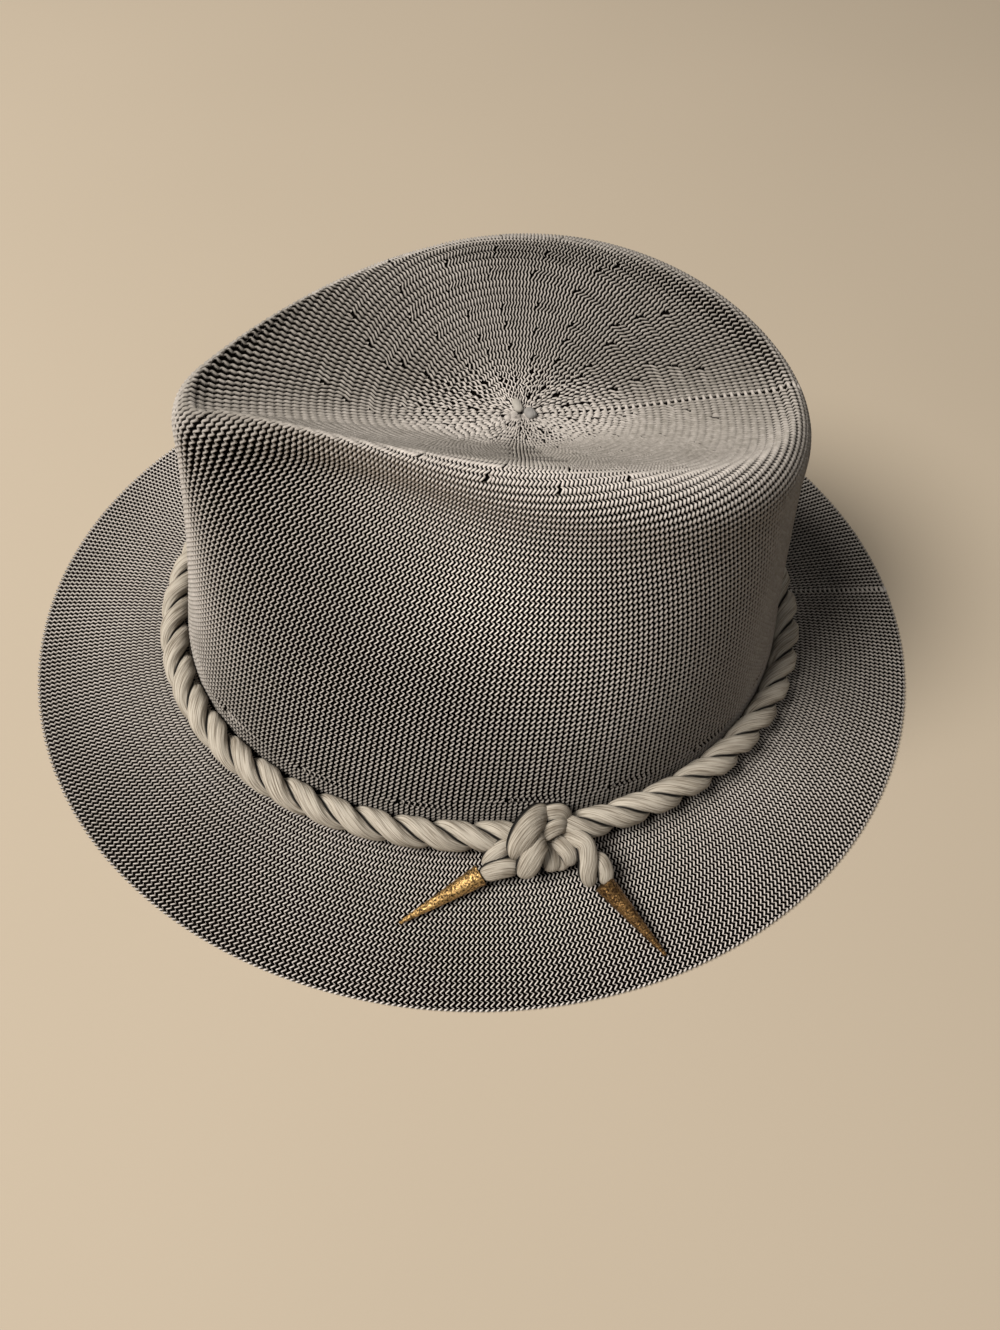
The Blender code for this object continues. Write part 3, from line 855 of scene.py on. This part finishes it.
def tube(route, facing, wide, thick, sides, squareness=2, grooves=0, filaments=18, twist=0, shade_height=-2):
    """Points, faces and vectors of a flattened tube. facing is the way its thin side looks.

    Filaments with thin grooves between them run along it, and its back has painted shade, dark up to a given
    height."""
    way = unit(np.gradient(route, axis=0))
    across = unit(np.cross(way, facing))
    up = unit(np.cross(across, way))
    gone = distance_along(route)[:, None]
    angle = TURN * np.arange(sides) / sides
    turned = angle[None, :] + twist * gone
    wander = GROOVE_WANDER[0] * np.sin(2 * turned + 1)
    wander = wander + GROOVE_WANDER[1] * np.sin(3 * turned + gone / GROOVE_WANDER_LENGTH)
    swell = 1 - grooves * (1 - np.sqrt(np.abs(np.sin(filaments / 2 * turned + wander))))
    section = np.abs(np.cos(angle)) ** squareness + np.abs(np.sin(angle)) ** squareness
    swell = swell * section ** (-1 / squareness)
    aside = (np.cos(angle) * swell * wide[:, None])[..., None] * across[:, None]
    above = (np.sin(angle) * swell * thick[:, None])[..., None] * up[:, None]
    points = route[:, None] + aside + above
    lay = np.stack((np.cos(turned), gone * LAY_PER_METRE + 0 * turned, np.sin(turned)), -1)
    strand_shade = np.zeros_like(points)
    # painted shade on the back of the strand
    strand_shade[..., 0] = smooth_step((np.sin(angle) - shade_height) / SHADE_EDGE)
    vectors = {"lay": lay.reshape(-1, 3), "strand_shade": strand_shade.reshape(-1, 3)}
    return points.reshape(-1, 3), ring_faces(len(route), sides), vectors


def add_tube(name, slot, finish, *shape, **strand):
    points, faces, vectors = tube(*shape, **strand)
    return add_piece(name, slot, points, faces, finish, **vectors)


def rounded_ends(stations):
    """Share of its full width that a short length of strand has at each station."""
    return np.sqrt(np.clip(1 - np.linspace(-1, 1, stations) ** 4, 0.01, 1))


def rope_band(finish):
    """Two strands laid round each other, once round the crown from the knot to the knot."""
    angles = KNOT_ANGLE + np.linspace(KNOT_REACH, TURN - KNOT_REACH, ROPE_STATIONS)
    out = shell_normals(angles, ROPE_ROW)
    middle = shell_points(angles, ROPE_ROW) + ROPE_OFFSET * out
    way = unit(np.gradient(middle, axis=0))
    up = unit(np.cross(out, way))
    up = up * np.sign(up[:, 2:3])
    gone = distance_along(middle)
    size = (np.full(ROPE_STATIONS, STRAND_WIDE), np.full(ROPE_STATIONS, STRAND_THICK), ROPE_SIDES)
    for name, start in (("rope_strand_1", 0.0), ("rope_strand_2", math.pi)):
        turned = (start - TURN * gone / LAY)[:, None]
        aside = np.cos(turned) * out + np.sin(turned) * up
        route = middle + STRAND_OFFSET * aside
        add_tube(name, "pale_rope", finish, route, aside, *size, **ROPE_STRAND)


def rope_knot(finish):
    """Short rounded lengths of strand that make up the knot and its tails."""
    facing = np.tile(KNOT_FACING, (KNOT_STATIONS, 1))
    for name, (size, points) in KNOT_LOBES.items():
        place = np.linspace(0, len(points) - 1, KNOT_STATIONS)
        route = catmull(np.array(points), place) * MM
        wide, thick = (half * MM * rounded_ends(KNOT_STATIONS) for half in size)
        shape = (route, facing, wide, thick, KNOT_SIDES)
        add_tube(f"knot_{name}", "pale_rope", finish, *shape, **KNOT_STRAND)


def height_under(place, shell_tree):
    return shell_tree.ray_cast(place, Vector((0, 0, -1)))[0].z


def hammered(points, route, share, radius, random):
    """Points of a cone, one ring for each place on its route, with small dents and bulges."""
    out = unit(points - route[:, None])
    turn = TURN * np.arange(TIP_SIDES) / TIP_SIDES
    for _ in range(TIP_DENTS):
        place = random.uniform(*DENT_PLACES)
        middle = random.uniform(0, TURN)
        size = random.uniform(*DENT_SIZES) * MM
        depth = random.uniform(*DENT_DEPTHS) * size * (1 - DENT_SHALLOWER * place)
        around = np.abs(np.remainder(turn - middle + math.pi, TURN) - math.pi)[None, :] * radius[:, None]
        along = ((share - place) * TIP_LENGTH)[:, None]
        near = (around**2 + (along * DENT_SHORTER) ** 2) / size**2
        points = points - (depth * np.exp(-near))[..., None] * out
    return points


def brass_tip(name, shell_tree, finish):
    """A hammered cone that lies on the brim."""
    rope_end = Vector(TAIL_ENDS[name]) * MM
    angle = TIP_HEADING[name]
    far = rope_end + TIP_LENGTH * Vector((math.cos(angle), math.sin(angle), 0))
    far.z = height_under(far, shell_tree) + TIP_LIFT
    heading = (far - rope_end).normalized()
    share = np.linspace(0, 1, TIP_STATIONS)
    route = np.array(rope_end + TIP_GAP * heading) + share[:, None] * TIP_LENGTH * np.array(heading)
    radius = TIP_BASE_RADIUS + (TIP_POINT_RADIUS - TIP_BASE_RADIUS) * share
    rounding = np.clip((share - (1 - TIP_ROUNDED)) / TIP_ROUNDED, 0, 1)
    radius *= np.sqrt(np.clip(1 - rounding**2, TIP_BLUNTNESS, 1))
    radius[0] *= TIP_RIM
    facing = np.tile(UP, (TIP_STATIONS, 1))
    points, faces, vectors = tube(route, facing, radius, radius, TIP_SIDES)
    points = points.reshape(TIP_STATIONS, TIP_SIDES, 3)
    points = hammered(points, route, share, radius, np.random.default_rng(TIP_SEED[name]))
    shape = (points.reshape(-1, 3), faces, finish)
    return add_piece(f"brass_tip_{name}_hammered", "old_brass", *shape, **vectors)


def crown_tie(shell_tree, finishes):
    """Two ends of yarn, tied and cut short, at the middle of the crown."""
    steps = np.linspace(-1, 1, TIE_STATIONS)[:, None]
    facing = np.tile(UP, (TIE_STATIONS, 1))
    for name, (middle, half_length, half_width, heading) in TIE_ENDS.items():
        top = Vector((middle[0] * MM, middle[1] * MM, 1))
        way = np.array((math.cos(heading), math.sin(heading), 0.0))
        route = np.array((*top.xy, height_under(top, shell_tree) + TIE_LIFT))
        route = route + steps * half_length * MM * way
        wide = half_width * MM * rounded_ends(TIE_STATIONS)
        shape = (route, facing, wide, wide * TIE_FLATNESS, TIE_SIDES)
        add_tube(name, "grey_knit", finishes[name], *shape, **YARN_STRAND)


def add_floor(finish):
    low, high = -FLOOR_REACH, FLOOR_REACH
    corners = ((low, low, 0), (high, low, 0), (high, high, 0), (low, high, 0))
    mesh = bpy.data.meshes.new("floor")
    mesh.from_pydata(corners, [], [(0, 1, 2, 3)])
    mesh.materials.append(finish)
    floor = bpy.data.objects.new("floor", mesh)
    bpy.context.scene.collection.objects.link(floor)


def add_camera():
    data = bpy.data.cameras.new("camera")
    data.lens = LENS
    data.clip_start = CLIP_START
    camera = bpy.data.objects.new("camera", data)
    bpy.context.scene.collection.objects.link(camera)
    turn = Matrix.Rotation(-LOOK_TURN, 3, "Z")
    way = turn @ Vector((0, math.cos(LOOK_DOWN), -math.sin(LOOK_DOWN)))
    flat_right = turn @ Vector((1, 0, 0))
    flat_up = turn @ Vector((0, math.sin(LOOK_DOWN), math.cos(LOOK_DOWN)))
    right = math.cos(LOOK_ROLL) * flat_right - math.sin(LOOK_ROLL) * flat_up
    up = math.sin(LOOK_ROLL) * flat_right + math.cos(LOOK_ROLL) * flat_up
    place = turn @ LOOK_ASIDE + Vector((0, 0, LOOK_HEIGHT)) - LOOK_DISTANCE * way
    axes = Matrix((right, up, -way)).transposed().to_4x4()
    camera.matrix_world = Matrix.Translation(place) @ axes
    bpy.context.scene.camera = camera


def add_light(name, place, aim, size, power, colour):
    data = bpy.data.lights.new(name, "AREA")
    data.shape = "DISK"
    data.size = size
    data.energy = power
    data.color = colour
    light = bpy.data.objects.new(name, data)
    light.location = place
    light.rotation_mode = "QUATERNION"
    light.rotation_quaternion = (Vector(aim) - Vector(place)).to_track_quat("-Z", "Y")
    bpy.context.scene.collection.objects.link(light)


def add_lights():
    world = bpy.data.worlds.new("studio")
    world.use_nodes = True
    background = world.node_tree.nodes["Background"]
    background.inputs["Color"].default_value = ROOM_COLOUR
    background.inputs["Strength"].default_value = ROOM_STRENGTH
    bpy.context.scene.world = world
    for name, light in LIGHTS.items():
        add_light(name, *light)
    bpy.context.scene.view_settings.view_transform = "Standard"


def build():
    add_camera()
    add_lights()
    add_floor(floor_finish())
    yarn = yarn_finish("grey knitting yarn", YARN_DARK, YARN_PALE, knit=True)
    grey_end = yarn_finish("grey yarn end", GREY_END_DARK, GREY_END_PALE)
    pale_end = yarn_finish("pale yarn end", PALE_END_DARK, PALE_END_PALE)
    rope = rope_finish()
    brass = {
        "front": brass_finish("bright old brass", BRASS_BRIGHT),
        # the back tip gets the darker copy of the brass, as painted shade
        "back": brass_finish("old brass in painted shade", BRASS_IN_PAINTED_SHADE),
    }

    brim_rings = np.concatenate((edge_rings(), rings_at(BRIM_ROWS)))
    brim = Field(brim_rings, np.concatenate(([row for row, height in BRIM_EDGE], BRIM_ROWS)))
    crown = Field(rings_at(CROWN_ROWS), CROWN_ROWS)
    shell_tree = BVHTree.FromObject(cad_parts["knit_shell"], bpy.context.evaluated_depsgraph_get())
    brim_ribs(brim, yarn)
    crown_ribs(crown, yarn)
    seam("seam_of_brim", brim, *SEAM_OF_BRIM, yarn)
    seam("seam_of_crown", crown, *SEAM_OF_CROWN, yarn)
    backing = shell_backing(backing_finish(), inside_finish())
    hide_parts("knit_shell")
    rope_band(rope)
    rope_knot(rope)
    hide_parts("rope_band")
    for name in TAIL_ENDS:
        tip = brass_tip(name, shell_tree, brass[name])
        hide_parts(f"brass_tip_{name}")
    crown_tie(shell_tree, {"tie_pale_end": pale_end, "tie_grey_end": grey_end})
    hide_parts("crown_tie")


build()
